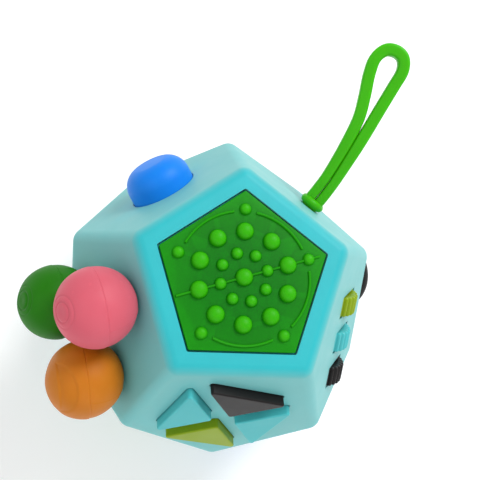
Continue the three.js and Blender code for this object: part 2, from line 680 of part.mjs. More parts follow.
function addRocker() {
  const f = face.lowFrontLeft;
  const { radius, pivot, half, length, pin } = ROCKER;
  const side = (x) => [-15, -2, 11, 24, 35].map((angle) => {
    const spot = polar(radius, angle);
    return new THREE.Vector2(x * spot.x, pivot + spot.y);
  });
  const outline = [...side(1), new THREE.Vector2(0, 0.9), ...side(-1).reverse()];
  const place = (geometry) => geometry.rotateX(Math.PI / 2).rotateZ(Math.PI / 2);
  const body = place(prism(new THREE.Shape(outline), -half, half));
  const hole = crossBar('x', pin + GAP, 12, pivot);
  addPiece(f, 'rocker', cutFrom(solid(body), [hole]), 'lime', 0.4);
  addPiece(f, 'rocker_pin', solid(crossBar('x', pin, 11.8, pivot)), 'steel', 0.25, 1);
  const low = -6.6;
  const frame = [block(13.6, 17, -4.1, INSIDE)];
  frame.push(block(13.6, 4, low, low + 1.2));
  [-1, 1].forEach((s) => frame.push(block(1.4, 4, low, -3, s * 6.1, 0)));
  const window = block(10, 15, -5.2, 5);
  addPiece(f, 'rocker_frame', cutFrom(joined(frame), [window]), 'inner', 0.6);
  f.userData.cuts.push(block(2 * half + 0.8, length + 0.6, -CUT_REACH, CUT_REACH));
  f.userData.cuts.push(crossBar('x', pin + GAP, 12.4, pivot));
}

// ---------------------------------------------------------------- lower front right: dish

const DISH = { radius: 10.5, depth: 2.3, rim: 0.5 };

function addDish() {
  const f = face.lowFrontRight;
  const { radius, depth, rim } = DISH;
  const profile = [[0, -4.1], [12.2, -4.1], [12.2, INSIDE], [radius, INSIDE]];
  profile.push([radius, rim - 0.3], [radius - 0.5, rim]);
  for (let i = 4; i >= 1; i -= 1) {
    const share = i / 5;
    profile.push([(radius - 0.8) * share, rim - depth * (1 - share ** 2)]);
  }
  profile.push([0, rim - depth]);
  addPiece(f, 'thumb_dish', solid(turned(profile, LARGE_ROUND)), 'blue', 0.5);
  f.userData.cuts.push(bar(radius + GAP, -CUT_REACH, CUT_REACH, LARGE_ROUND));
}

// ---------------------------------------------------------------- bottom: spin ring and screw

const SPIN = { inner: 7.3, outer: 12.9, hub: 8.4, seat: 4.6 };
const POST = 3.2;
const SCREW_HOLE = 1.5;
const POST_MEETING = 22.5;          // height where the two casing posts meet

function addBottom() {
  const f = face.bottom;
  const ring = [[SPIN.inner, -2.4], [SPIN.outer, -2.4], [SPIN.outer, -0.9]];
  ring.push([SPIN.outer - 0.5, -0.4], [8.9, -0.4], [8.9, -1.3], [SPIN.inner, -1.3]);
  ring.push([SPIN.inner, -2.4]);
  const grips = Array.from({ length: 8 }, (_, i) => {
    const spot = polar(11, 45 * i);
    return bar(0.9, -1.2, 1, 6, spot.x, spot.y);
  });
  const spinner = cutFrom(solid(turned(ring, LARGE_ROUND)), grips);
  addPiece(f, 'spin_ring', spinner, 'leaf', 0.45);
  const hub = [[0, -3.8], [4, -3.8], [4, -1.7], [6.6, -1.7], [6.6, -1], [SPIN.hub, -1]];
  hub.push([SPIN.hub, 0], [0, 0]);
  addPiece(f, 'spin_hub', solid(turned(hub, ROUND)), 'casing', 0.42);
  const screw = [[0, -5], [2.6, -5], [2.6, -7], [1.2, -7], [1.2, -33], [0, -34]];
  addPiece(f, 'case_screw', solid(turned(screw, SMALL_ROUND)), 'steel', 0.3, 1);
  f.userData.adds.push(bar(14.6, -SPIN.seat, -WALL + 0.5, LARGE_ROUND));
  f.userData.adds.push(bar(4.6, -10, -SPIN.seat + 0.5, ROUND));
  f.userData.adds.push(bar(POST, -POST_MEETING, -9.5, ROUND));
  const pocket = [[0, 5], [SPIN.outer + GAP, 5], [SPIN.outer + GAP, -2.7], [7, -2.7], [7, -2]];
  pocket.push([4.3, -2], [4.3, -4.1], [2.9, -4.1], [2.9, -7.3]);
  pocket.push([SCREW_HOLE, -7.3], [SCREW_HOLE, -POST_MEETING - 1], [0, -POST_MEETING - 1]);
  f.userData.cuts.push(turned(pocket, LARGE_ROUND));
  const top = 2 * IN_RADIUS - POST_MEETING - GAP;
  face.top.userData.adds.push(bar(POST, -top, -WALL + 0.5, ROUND));
  face.top.userData.cuts.push(bar(SCREW_HOLE, -top - 1, -2 * IN_RADIUS + 35, SMALL_ROUND));
}

addTactilePad();
addPushButton();
addBalls();
addKeys();
addGears();
addStrap();
addJoystick();
addDial();
addSlider();
addRocker();
addDish();
addBottom();
addCasingHalf('upper_shell', true);
addCasingHalf('lower_shell', false);

export default toy;
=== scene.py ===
import json
import math

import bmesh
import bpy
import numpy as np
from mathutils import Matrix, Vector


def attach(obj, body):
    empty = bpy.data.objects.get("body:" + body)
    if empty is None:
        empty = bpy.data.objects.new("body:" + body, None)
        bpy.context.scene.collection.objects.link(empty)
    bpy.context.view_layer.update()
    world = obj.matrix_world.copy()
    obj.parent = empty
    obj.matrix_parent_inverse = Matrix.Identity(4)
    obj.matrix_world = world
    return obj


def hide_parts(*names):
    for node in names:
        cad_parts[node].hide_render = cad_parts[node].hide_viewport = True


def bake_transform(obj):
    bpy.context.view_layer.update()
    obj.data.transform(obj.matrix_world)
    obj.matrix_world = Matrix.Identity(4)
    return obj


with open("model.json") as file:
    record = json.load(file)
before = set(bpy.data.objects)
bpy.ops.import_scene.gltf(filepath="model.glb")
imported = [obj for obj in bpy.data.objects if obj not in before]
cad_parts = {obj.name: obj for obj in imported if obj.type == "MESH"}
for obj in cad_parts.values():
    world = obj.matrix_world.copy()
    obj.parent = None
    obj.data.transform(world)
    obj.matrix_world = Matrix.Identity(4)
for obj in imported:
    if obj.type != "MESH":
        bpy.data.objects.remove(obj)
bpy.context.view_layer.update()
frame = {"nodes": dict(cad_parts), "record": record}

# A twelve-sided fidget toy. Shapes are made in millimetres in the local space of the face
# that they stand on (x and y in the face, y uphill, z out of the casing, z = 0 on the
# casing's surface), and are then placed in the row frame in metres.

MM = 0.001
EDGE = 25.0
CORNER_RADIUS = 2.8
WALL = 2.6
GAP = 0.3
PARTING_GAP = 0.3
LONGEST_EDGE = 5.0
IN_RADIUS = EDGE / 2 * math.sqrt((25 + 11 * math.sqrt(5)) / 10)
SIDE_TILT = math.degrees(math.atan(2))
CENTRE = np.array([0.0, 0.0, IN_RADIUS])


# ---------------------------------------------------------------- faces of the casing

def face_axes(tilt, azimuth):
    flat = math.sin(math.radians(tilt))
    around = math.radians(azimuth)
    z = np.array([flat * math.cos(around), flat * math.sin(around), math.cos(math.radians(tilt))])
    y = np.array([0.0, 1.0, 0.0])
    if 0 < tilt < 180:
        y = np.array([0.0, 0.0, 1.0]) - z * z[2]
        y /= np.linalg.norm(y)
    return np.cross(y, z), y, z


def face_matrix(tilt, azimuth):
    x, y, z = face_axes(tilt, azimuth)
    matrix = np.eye(4)
    matrix[:3, 0], matrix[:3, 1], matrix[:3, 2] = x, y, z
    matrix[:3, 3] = CENTRE + z * IN_RADIUS
    return matrix


FACES = {
    "top": face_matrix(0, 0),
    "back_left": face_matrix(SIDE_TILT, 126),
    "left": face_matrix(SIDE_TILT, 198),
    "front": face_matrix(SIDE_TILT, 270),
    "right": face_matrix(SIDE_TILT, 342),
    "back_right": face_matrix(SIDE_TILT, 54),
    "low_back": face_matrix(180 - SIDE_TILT, 90),
    "low_back_left": face_matrix(180 - SIDE_TILT, 162),
    "low_front_left": face_matrix(180 - SIDE_TILT, 234),
    "low_front_right": face_matrix(180 - SIDE_TILT, 306),
    "low_right": face_matrix(180 - SIDE_TILT, 18),
    "bottom": face_matrix(180, 0),
}
ROW = np.eye(4)


def shifted(matrix, x=0.0, y=0.0, z=0.0, turned_by=0.0):
    """The local space moved within its face and turned about the face's normal."""
    around = math.radians(turned_by)
    inner = np.eye(4)
    inner[:2, :2] = [[math.cos(around), -math.sin(around)], [math.sin(around), math.cos(around)]]
    inner[:3, 3] = x, y, z
    return matrix @ inner


# ---------------------------------------------------------------- mesh code
# A shape is a pair: an array of points, and the faces as lists of point numbers

def circle(radius, count, x=0.0, y=0.0):
    angles = np.linspace(0, 2 * math.pi, count, endpoint=False)
    return np.stack([x + radius * np.cos(angles), y + radius * np.sin(angles)], 1)


def polar(radius, degrees):
    return np.array([radius * math.cos(math.radians(degrees)),
                     radius * math.sin(math.radians(degrees))])


def prism(outline, low, high):
    outline = np.asarray(outline, float)
    count = len(outline)
    verts = np.concatenate([
        np.column_stack([outline, np.full(count, low)]),
        np.column_stack([outline, np.full(count, high)]),
    ])
    faces = [list(range(count))[::-1], list(range(count, 2 * count))]
    faces += [[i, (i + 1) % count, count + (i + 1) % count, count + i] for i in range(count)]
    return verts, faces


def turned(profile, sides=64):
    """A closed turned shape about z. The profile starts and ends on the axis, or is a ring's
    closed outline, and runs anticlockwise as (radius, z)."""
    ring_shape = min(r for r, _ in profile) > 0
    verts, rows = [], []
    for radius, z in profile:
        if radius <= 0:
            rows.append([len(verts)] * sides)
            verts.append((0.0, 0.0, z))
        else:
            rows.append(list(range(len(verts), len(verts) + sides)))
            verts += [(x, y, z) for x, y in circle(radius, sides)]
    if ring_shape:
        rows.append(rows[0])
    faces = []
    for low, high in zip(rows, rows[1:]):
        for i in range(sides):
            j = (i + 1) % sides
            face = [low[i], low[j], high[j], high[i]]
            face = [v for k, v in enumerate(face) if v != face[k - 1]]
            if len(face) > 2:
                faces.append(face)
    return np.array(verts), faces


def swept(path, across, upward, section):
    """A closed-ended bar: the section is given in the across and upward directions."""
    path, across, upward = (np.asarray(a, float) for a in (path, across, upward))
    count, size = len(path), len(section[0])
    verts = []
    for i in range(count):
        shape = np.asarray(section[i])
        verts += list(path[i] + shape[:, :1] * across[i] + shape[:, 1:] * upward[i])
    faces = [list(range(size))[::-1], list(range((count - 1) * size, count * size))]
    for i in range(count - 1):
        for k in range(size):
            n = (k + 1) % size
            faces.append([i * size + k, i * size + n, (i + 1) * size + n, (i + 1) * size + k])
    return np.array(verts), faces


def moved(shape, x=0.0, y=0.0, z=0.0):
    return shape[0] + np.array([x, y, z]), shape[1]


def together(shapes):
    verts, faces, start = [], [], 0
    for points, polygons in shapes:
        verts.append(points)
        faces += [[start + i for i in polygon] for polygon in polygons]
        start += len(points)
    return np.concatenate(verts), faces


def rounded_outline(corners, radius, steps=6):
    """A polygon with round corners, anticlockwise."""
    corners = [np.asarray(c, float) for c in corners]
    points = []
    for i, corner in enumerate(corners):
        back = corners[i - 1] - corner
        ahead = corners[(i + 1) % len(corners)] - corner
        back, ahead = back / np.linalg.norm(back), ahead / np.linalg.norm(ahead)
        half = math.acos(np.clip(back @ ahead, -1, 1)) / 2
        middle = (back + ahead) / np.linalg.norm(back + ahead)
        hub = corner + middle * radius / math.sin(half)
        start = corner + back * radius / math.tan(half) - hub
        end = corner + ahead * radius / math.tan(half) - hub
        first = math.atan2(start[1], start[0])
        sweep = (math.atan2(end[1], end[0]) - first + math.pi) % (2 * math.pi) - math.pi
        for k in range(steps + 1):
            angle = first + sweep * k / steps
            points.append(hub + radius * np.array([math.cos(angle), math.sin(angle)]))
    return np.array(points)


def to_object(name, shape, space=ROW):
    """A mesh object in millimetres in the row frame."""
    verts, faces = shape
    mesh = bpy.data.meshes.new(name)
    mesh.from_pydata([tuple(v) for v in verts], [], faces)
    mesh.transform(Matrix(space.tolist()))
    work = bmesh.new()
    work.from_mesh(mesh)
    bmesh.ops.recalc_face_normals(work, faces=work.faces)
    work.to_mesh(mesh)
    work.free()
    obj = bpy.data.objects.new(name, mesh)
    bpy.context.scene.collection.objects.link(obj)
    return obj


def bake_modifiers(obj):
    graph = bpy.context.evaluated_depsgraph_get()
    mesh = bpy.data.meshes.new_from_object(obj.evaluated_get(graph))
    obj.modifiers.clear()
    obj.data = mesh


def combine(obj, others, operation):
    """Joins or cuts obj with other objects, which are used up."""
    for other in others:
        step = obj.modifiers.new("step", "BOOLEAN")
        step.operation, step.solver, step.object = operation, "EXACT", other
    bake_modifiers(obj)
    for other in others:
        bpy.data.objects.remove(other)


def soften(obj, width, angle, segments):
    """Rounds the edges that are sharper than angle, as a moulding's edges are."""
    bevel = obj.modifiers.new("bevel", "BEVEL")
    bevel.width, bevel.segments, bevel.limit_method = width, segments, "ANGLE"
    bevel.angle_limit = math.radians(angle)
    bevel.use_clamp_overlap = True
    bevel.miter_outer = "MITER_ARC"
    bake_modifiers(obj)


def finish_piece(obj, body, material, replaces, sharp=35.0):
    """Scales to metres, shades, and fixes the piece to its CAD body, if it has one. Many-sided
    faces are split while the piece is in millimetres, where the numbers are large enough."""
    split = obj.modifiers.new("split", "TRIANGULATE")
    split.min_vertices = 5
    bake_modifiers(obj)
    obj.data.transform(Matrix.Scale(MM, 4))
    mesh = obj.data
    mesh.materials.clear()
    mesh.materials.append(material)
    for polygon in mesh.polygons:
        polygon.use_smooth = True
    mesh.set_sharp_from_angle(angle=math.radians(sharp))
    weighted = obj.modifiers.new("weighted", "WEIGHTED_NORMAL")
    weighted.keep_sharp = True
    weighted.weight = 80
    bake_modifiers(obj)
    if body:
        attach(obj, body)
    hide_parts(*replaces)


# ---------------------------------------------------------------- materials

class Nodes:
    """Adds and joins shader nodes in a few words."""

    def __init__(self, name):
        self.material = bpy.data.materials.new(name)
        self.material.use_nodes = True
        self.tree = self.material.node_tree
        self.shader = self.tree.nodes["Principled BSDF"]
        self.place = self.add("ShaderNodeTexCoord").outputs["Object"]

    def add(self, kind, **values):
        node = self.tree.nodes.new(kind)
        for key, value in values.items():
            setattr(node, key, value)
        return node

    def link(self, source, target):
        self.tree.links.new(source, target)

    def noise(self, scale, detail=3.0, rough=0.5):
        node = self.add("ShaderNodeTexNoise")
        node.inputs["Scale"].default_value = scale
        node.inputs["Detail"].default_value = detail
        node.inputs["Roughness"].default_value = rough
        self.link(self.place, node.inputs["Vector"])
        return node.outputs["Fac"]

    def ramp(self, source, stops):
        node = self.add("ShaderNodeValToRGB")
        elements = node.color_ramp.elements
        while len(elements) < len(stops):
            elements.new(0.5)
        for element, (place, colour) in zip(elements, stops):
            element.position = place
            element.color = (*colour, 1)
        self.link(source, node.inputs["Fac"])
        return node.outputs["Color"]

    def mix(self, factor, a, b):
        node = self.add("ShaderNodeMix", data_type="RGBA")
        for socket, value in ((node.inputs[0], factor), (node.inputs[6], a), (node.inputs[7], b)):
            if isinstance(value, bpy.types.NodeSocket):
                self.link(value, socket)
            else:
                socket.default_value = (*value, 1)
        return node.outputs[2]

    def map_range(self, source, low, high, to_low, to_high):
        node = self.add("ShaderNodeMapRange")
        for key, value in zip((1, 2, 3, 4), (low, high, to_low, to_high)):
            node.inputs[key].default_value = value
        self.link(source, node.inputs[0])
        return node.outputs[0]

    def bump(self, height, strength, distance, before=None):
        node = self.add("ShaderNodeBump")
        node.inputs["Strength"].default_value = strength
        node.inputs["Distance"].default_value = distance
        self.link(height, node.inputs["Height"])
        if before is not None:
            self.link(before, node.inputs["Normal"])
        return node.outputs["Normal"]


def linear(red, green, blue):
    """An sRGB colour of 0 to 255 as scene-linear values."""
    def one(value):
        value /= 255
        return value / 12.92 if value <= 0.04045 else ((value + 0.055) / 1.055) ** 2.4
    return one(red), one(green), one(blue)


def scaled(colour, factor):
    return tuple(min(1.0, channel * factor) for channel in colour)


def moulded(name, colour, roughness=0.42, grain=0.08, spread=0.06, soft=0.0, tint=None,
            shine=0.25, specks=0.0, edge_paling=0.12, light_zones=None):
    """A moulded plastic or rubber: slow colour drift, fine spark-eroded grain, small flow
    marks in the gloss, paler sharp edges, painted shade darkening the hollows, a few dust
    specks, and light let in if soft. The zone function adds colours that depend on where a
    point is, painted light among them."""
    n = Nodes(name)
    shader = n.shader
    drift = n.noise(55.0, 4.0, 0.6)
    base = n.ramp(drift, [(0.3, scaled(colour, 1 - spread)), (0.7, scaled(colour, 1 + spread))])
    if light_zones:
        base = light_zones(n, base)
    edge = n.add("ShaderNodeNewGeometry").outputs["Pointiness"]
    paler_edge = n.map_range(edge, 0.52, 0.6, 0.0, edge_paling)
    base = n.mix(paler_edge, base, scaled(colour, 1.35))
    # Painted shade: hollows and creases are darkened, as if shade fell in them.
    hollow = n.map_range(edge, 0.40, 0.48, 0.35, 0.0)
    base = n.mix(hollow, base, scaled(colour, 0.55))
    if specks:
        cells = n.add("ShaderNodeTexVoronoi", feature="F1")
        cells.inputs["Scale"].default_value = 160.0
        n.link(n.place, cells.inputs["Vector"])
        dot = n.map_range(cells.outputs["Distance"], 0.015, 0.035, specks, 0.0)
        patchy = n.map_range(n.noise(210.0, 1.0), 0.58, 0.62, 0.0, 1.0)
        gate = n.add("ShaderNodeMath", operation="MULTIPLY")
        n.link(dot, gate.inputs[0])
        n.link(patchy, gate.inputs[1])
        base = n.mix(gate.outputs[0], base, scaled(colour, 0.25))
    n.link(base, shader.inputs["Base Color"])
    flow = n.noise(130.0, 5.0, 0.65)
    n.link(n.map_range(flow, 0.3, 0.7, roughness - 0.05, roughness + 0.07),
           shader.inputs["Roughness"])
    fine = n.bump(n.noise(5200.0, 2.0, 0.6), grain, 0.00006)
    waves = n.bump(n.noise(95.0, 2.0, 0.5), 0.06, 0.0004, fine)
    n.link(waves, shader.inputs["Normal"])
    shader.inputs["IOR"].default_value = 1.47
    if soft:
        shader.inputs["Subsurface Weight"].default_value = soft
        shader.inputs["Subsurface Radius"].default_value = tint or (1.0, 0.6, 0.4)
        shader.inputs["Subsurface Scale"].default_value = 0.0016
    shader.inputs["Specular IOR Level"].default_value = shine
    return n.material


def bright_steel(name):
    n = Nodes(name)
    streaks = n.noise(900.0, 3.0, 0.7)
    base = n.ramp(streaks, [(0.3, (0.42, 0.43, 0.45)), (0.7, (0.62, 0.63, 0.65))])
    n.link(base, n.shader.inputs["Base Color"])
    n.link(n.map_range(streaks, 0.3, 0.7, 0.2, 0.34), n.shader.inputs["Roughness"])
    n.link(n.bump(streaks, 0.08, 0.00002), n.shader.inputs["Normal"])
    n.shader.inputs["Metallic"].default_value = 1.0
    return n.material


COLOURS = {
    "casing": linear(42, 180, 188),
    # The side colour is a painted sheen: the greyer haze of the casing's sides.
    "casing_side_sheen": linear(132, 190, 187),
    "pad": linear(0, 118, 2),
    # Painted light: the next colour is the sheet's edge painted lighter, and the one after it a
    # painted highlight on the dots and ribs.
    "pad_edge_light": linear(16, 138, 2),
    "dome": linear(52, 170, 2),
    "strap": linear(62, 176, 2),
    "blue": linear(6, 128, 232),
    "pink": linear(206, 92, 108),
    "leaf": linear(30, 112, 2),
    "orange": linear(190, 112, 16),
    "black": linear(26, 23, 23),
    "rubber": linear(24, 23, 23),
    "lime": linear(134, 158, 10),
    "cyan": linear(76, 182, 186),
    "ring": linear(60, 150, 24),
    "dial": linear(214, 124, 26),
    "slider": linear(214, 100, 118),
    "inner": linear(222, 223, 220),
    "lever": linear(110, 112, 116),
    "membrane": linear(206, 210, 212),
}
GREEN_GLOW = (0.3, 1.0, 0.1)
CYAN_GLOW = (0.25, 0.9, 1.0)
PAD_TOP = 2 * IN_RADIUS * MM


def casing_painted_sheen(n, base):
    """Painted sheen: the sides are painted greyer than the top, standing in for the pale haze
    that the plastic shows where it is seen at a slant.
    """
    normal = n.add("ShaderNodeSeparateXYZ")
    n.link(n.add("ShaderNodeNewGeometry").outputs["Normal"], normal.inputs[0])
    side = n.map_range(normal.outputs["Z"], 0.5, 0.97, 0.7, 0.0)
    return n.mix(side, base, COLOURS["casing_side_sheen"])


def pad_painted_light(n, base):
    """Painted light: the sheet is painted lighter and yellower towards its edge, and the raised dots
    and ribs paler, as a painted highlight.
    """
    place = n.add("ShaderNodeSeparateXYZ")
    n.link(n.place, place.inputs[0])
    distance = n.add("ShaderNodeVectorMath", operation="LENGTH")
    flat = n.add("ShaderNodeCombineXYZ")
    n.link(place.outputs["X"], flat.inputs["X"])
    n.link(place.outputs["Y"], flat.inputs["Y"])
    n.link(flat.outputs[0], distance.inputs[0])
    edge = n.map_range(distance.outputs["Value"], 0.006, 0.015, 0.0, 1.0)
    base = n.mix(edge, base, COLOURS["pad_edge_light"])
    raised = n.map_range(place.outputs["Z"], PAD_TOP + 0.0001, PAD_TOP + 0.0009, 0.0, 1.0)
    return n.mix(raised, base, COLOURS["dome"])


MATERIALS = {
    # The casing's colour carries painted sheen on its sides.
    "casing": moulded("casing_plastic", COLOURS["casing"], 0.5, 0.10, 0.05, soft=0.3,
                      tint=CYAN_GLOW, shine=0.35, specks=0.5, light_zones=casing_painted_sheen),
    # The pad's colour carries painted light at its edge and a painted highlight on its dots and
    # ribs.
    "pad_green": moulded("pad_silicone", COLOURS["pad"], 0.45, 0.05, 0.05, soft=0.25,
                         tint=GREEN_GLOW, shine=0.16, edge_paling=0.0, light_zones=pad_painted_light),
    "strap": moulded("strap_silicone", COLOURS["strap"], 0.42, 0.05, 0.06, soft=0.45,
                     tint=GREEN_GLOW, shine=0.22),
    "button_blue": moulded("blue_plastic", COLOURS["blue"], 0.46, 0.12, 0.04, soft=0.15,
                           tint=(0.1, 0.4, 1.0)),
    "ball_pink": moulded("pink_rubber", COLOURS["pink"], 0.5, 0.16, 0.05, soft=0.25,
                         tint=(1.0, 0.4, 0.35), specks=0.8),
    "ball_green": moulded("green_rubber", COLOURS["leaf"], 0.52, 0.16, 0.08, soft=0.2,
                          tint=GREEN_GLOW, shine=0.18, specks=0.6),
    "ball_orange": moulded("orange_rubber", COLOURS["orange"], 0.5, 0.16, 0.07, soft=0.25,
                           tint=(1.0, 0.5, 0.1), specks=0.7),
    "black": moulded("black_plastic", COLOURS["black"], 0.36, 0.12, 0.1, shine=0.2),
    "black_rubber": moulded("black_rubber", COLOURS["rubber"], 0.55, 0.2, 0.12, shine=0.2),
    "lime": moulded("lime_plastic", COLOURS["lime"], 0.42, 0.1, 0.05, soft=0.15,
                    tint=(0.6, 1.0, 0.2)),
    "cyan": moulded("cyan_plastic", COLOURS["cyan"], 0.46, 0.1, 0.04, soft=0.3, tint=CYAN_GLOW),
    "dial_orange": moulded("dial_plastic", COLOURS["dial"], 0.44, 0.1, 0.05, soft=0.15),
    "slider_pink": moulded("slider_plastic", COLOURS["slider"], 0.44, 0.1, 0.05, soft=0.15),
    "ring_green": moulded("ring_plastic", COLOURS["ring"], 0.44, 0.1, 0.05, soft=0.1,
                          tint=GREEN_GLOW),
    "inner_plastic": moulded("inner_plastic", COLOURS["inner"], 0.5, 0.12, 0.03, soft=0.1),
    "grey_plastic": moulded("lever_plastic", COLOURS["lever"], 0.46, 0.12, 0.04),
    "membrane": moulded("membrane_silicone", COLOURS["membrane"], 0.4, 0.05, 0.04, soft=0.4),
    "steel": bright_steel("bright_steel"),
}


# ---------------------------------------------------------------- casing

def face_normals():
    return [matrix[:3, 2] for matrix in FACES.values()]


def corner_triples():
    normals = face_normals()
    def meet(a, b):
        return abs(a @ b - 1 / math.sqrt(5)) < 0.01
    triples = []
    for i, a in enumerate(normals):
        for j in range(i + 1, len(normals)):
            for b in normals[j + 1:]:
                if meet(a, normals[j]) and meet(normals[j], b) and meet(a, b):
                    triples.append((a, normals[j], b))
    return triples


def corner_at(triple, in_radius):
    total = sum(triple)
    return total * in_radius / (total @ triple[0]) + CENTRE


def hull(name, points):
    work = bmesh.new()
    for point in points:
        work.verts.new(tuple(point))
    result = bmesh.ops.convex_hull(work, input=work.verts)
    loose = [g for g in result["geom_interior"] if isinstance(g, bmesh.types.BMVert)]
    bmesh.ops.delete(work, geom=loose, context="VERTS")
    bmesh.ops.dissolve_limit(work, angle_limit=math.radians(0.4), verts=work.verts,
                             edges=work.edges)
    bmesh.ops.recalc_face_normals(work, faces=work.faces)
    mesh = bpy.data.meshes.new(name)
    work.to_mesh(mesh)
    work.free()
    obj = bpy.data.objects.new(name, mesh)
    bpy.context.scene.collection.objects.link(obj)
    return obj


def rounded_casing(name, steps=10):
    """The outer shape, with its flat faces in small triangles so that every cut is clean."""
    points = []
    for a, b, c in corner_triples():
        middle = corner_at((a, b, c), IN_RADIUS - CORNER_RADIUS)
        for i in range(steps + 1):
            for j in range(steps + 1 - i):
                way = a * i + b * j + c * (steps - i - j)
                points.append(middle + CORNER_RADIUS * way / np.linalg.norm(way))
    obj = hull(name, points)
    work = bmesh.new()
    work.from_mesh(obj.data)
    for _ in range(3):
        bmesh.ops.triangulate(work, faces=work.faces)
        long = [edge for edge in work.edges if edge.calc_length() > LONGEST_EDGE]
        bmesh.ops.subdivide_edges(work, edges=long, cuts=1)
    bmesh.ops.triangulate(work, faces=work.faces)
    work.to_mesh(obj.data)
    work.free()
    return obj


def half_space(name, upper):
    """The space above or below the zigzag parting surface through the ten belt edges."""
    sign = 1 if upper else -1
    belt = [corner_at(t, IN_RADIUS) - CENTRE for t in corner_triples()]
    belt = sorted((p for p in belt if abs(p[2]) < EDGE / 2), key=lambda p: math.atan2(p[1], p[0]))
    hub = CENTRE + np.array([0, 0, sign * PARTING_GAP / 2])
    ring = [hub + 2 * p for p in belt]
    pole = CENTRE + np.array([0, 0, sign * 4 * IN_RADIUS])
    verts = np.array([hub, pole] + ring)
    count = len(ring)
    faces = []
    for i in range(count):
        a, b = 2 + i, 2 + (i + 1) % count
        faces += [[0, a, b], [1, b, a]]
    return to_object(name, (verts, faces))


# Where each toy stands and how large it is, in millimetres

PAD_RADIUS = 16.5
BUTTON = {"y": 0.5, "radius": 6.75, "height": 6.25, "wall": 2.0, "fillet": 4.2}
BALL = {"radius": 7.4, "height": 6.6, "ring": 9.6, "start": 103.5, "flat": 0.35}
BALLS = ("pink", "green", "orange")
STEM = 1.8
GROOVE = 1.0
KEY = {"half": 8.4, "reach": 10.8, "height": 1.9, "start": 72, "corner": 0.55}
KEY_X = -0.85
KEY_Y = 0.5
KEYS = (("black", "black"), ("left", "cyan"), ("lime", "lime"), ("right", "cyan"))
GEAR = {"radius": 6.4, "root": 5.9, "width": 4.0, "pitch": 7.7, "teeth": 32, "proud": 1.8}
GEAR_ROW = {"x": -1.1, "y": -1.8, "turned_by": 30}
GEARS = (("black", "black"), ("cyan", "cyan"), ("lime", "lime"))
STRAP = {"x": -2.7, "y": 0.5, "top": 2.2, "pivot": 4.0, "width": 3.0}
# Middle of the folded band as (x, height over the pivot): up one strand, over and down
STRAP_ROUTE = (
    (-1.1, 0), (-0.9, 4), (-0.1, 11), (0.6, 16), (1.3, 20.5), (2.1, 26), (2.7, 29.6),
    (4.2, 31.6), (6.2, 31.9), (8.1, 30.8), (8.7, 28.2), (7.6, 25), (5.6, 21.2), (3.6, 16.8),
    (2.3, 11), (1.3, 4), (1.1, 0),
)
STICK = {"x": -0.8, "y": 1.0, "radius": 9.3, "round": 3.0, "height": 10.0, "bottom": 2.4,
         "neck": 4.2, "neck_top": 5.4, "stem": 2.0, "socket": 10.6, "hole": 4.6}
DIAL = {"radius": 9.5, "low": 0.4, "high": 3.2, "notches": 12}
SLIDE = {"travel": 3.5, "knob": 6.4, "neck": 2.4}
ROCKER = {"radius": 6.9, "pivot": -1.6, "half": 4.2, "pin": 0.8}
DISH = {"radius": 10.5, "depth": 2.3, "rim": 0.5}
SPIN = {"inner": 7.3, "outer": 12.9, "hub": 8.4}
POST = 3.2
POST_MEETING = 22.5
CUT_REACH = 5
SUNK = 0.5
CLIP_LOW = -4.1
CLIP_HIGH = -2.9
PAD_PEG_RING = 11


def pentagon(radius, corner):
    return rounded_outline([polar(radius, 90 + 72 * i) for i in range(5)], corner)


def key_outline(grow):
    out = KEY["reach"] + grow
    half = KEY["half"] + grow * (1 + math.sqrt(2))
    apex = KEY["reach"] - KEY["half"] - grow * math.sqrt(2)
    return rounded_outline([(out, -half), (out, half), (apex, 0)], KEY["corner"] + grow)


def rectangle(width, depth, corner=0.3):
    x, y = width / 2, depth / 2
    return rounded_outline([(x, y), (-x, y), (-x, -y), (x, -y)], corner, 4)


def through(outline):
    """A cutter that goes right through the casing's wall."""
    return prism(outline, -CUT_REACH, CUT_REACH)


def upper_cuts():
    """The openings of the upper half as (face, cutter, place in the face)."""
    cuts = [("top", prism(pentagon(PAD_RADIUS + 0.42, 0.45), -1.5, CUT_REACH), {})]
    for i in range(5):
        x, y = polar(PAD_PEG_RING, 90 + 72 * i)
        cuts.append(("top", prism(circle(1.5, 24, x, y), -CUT_REACH, 0), {}))
    cuts.append(("back_left", through(circle(BUTTON["radius"] + 0.2, 128, 0, BUTTON["y"])), {}))
    for i in range(len(BALLS)):
        x, y = polar(BALL["ring"], BALL["start"] + 120 * i)
        cuts.append(("left", through(circle(STEM + GAP, 40, x, y)), {}))
    for i in range(4):
        place = {"x": KEY_X, "y": KEY_Y, "turned_by": KEY["start"] + 90 * i}
        cuts.append(("front", through(key_outline(0.22)), place))
    for i in range(3):
        wheel = prism(circle(GEAR["radius"] + 0.4, 96), -GEAR["width"] / 2 - 0.4,
                      GEAR["width"] / 2 + 0.4)
        verts = wheel[0][:, [2, 1, 0]] * np.array([1, 1, -1])
        verts = verts + np.array([(i - 1) * GEAR["pitch"], 0, GEAR["proud"] - GEAR["radius"]])
        cuts.append(("right", (verts, wheel[1]), GEAR_ROW))
    hole = circle(STEM + GAP, 40, STRAP["x"], STRAP["y"])
    cuts.append(("back_right", through(hole), {}))
    return cuts


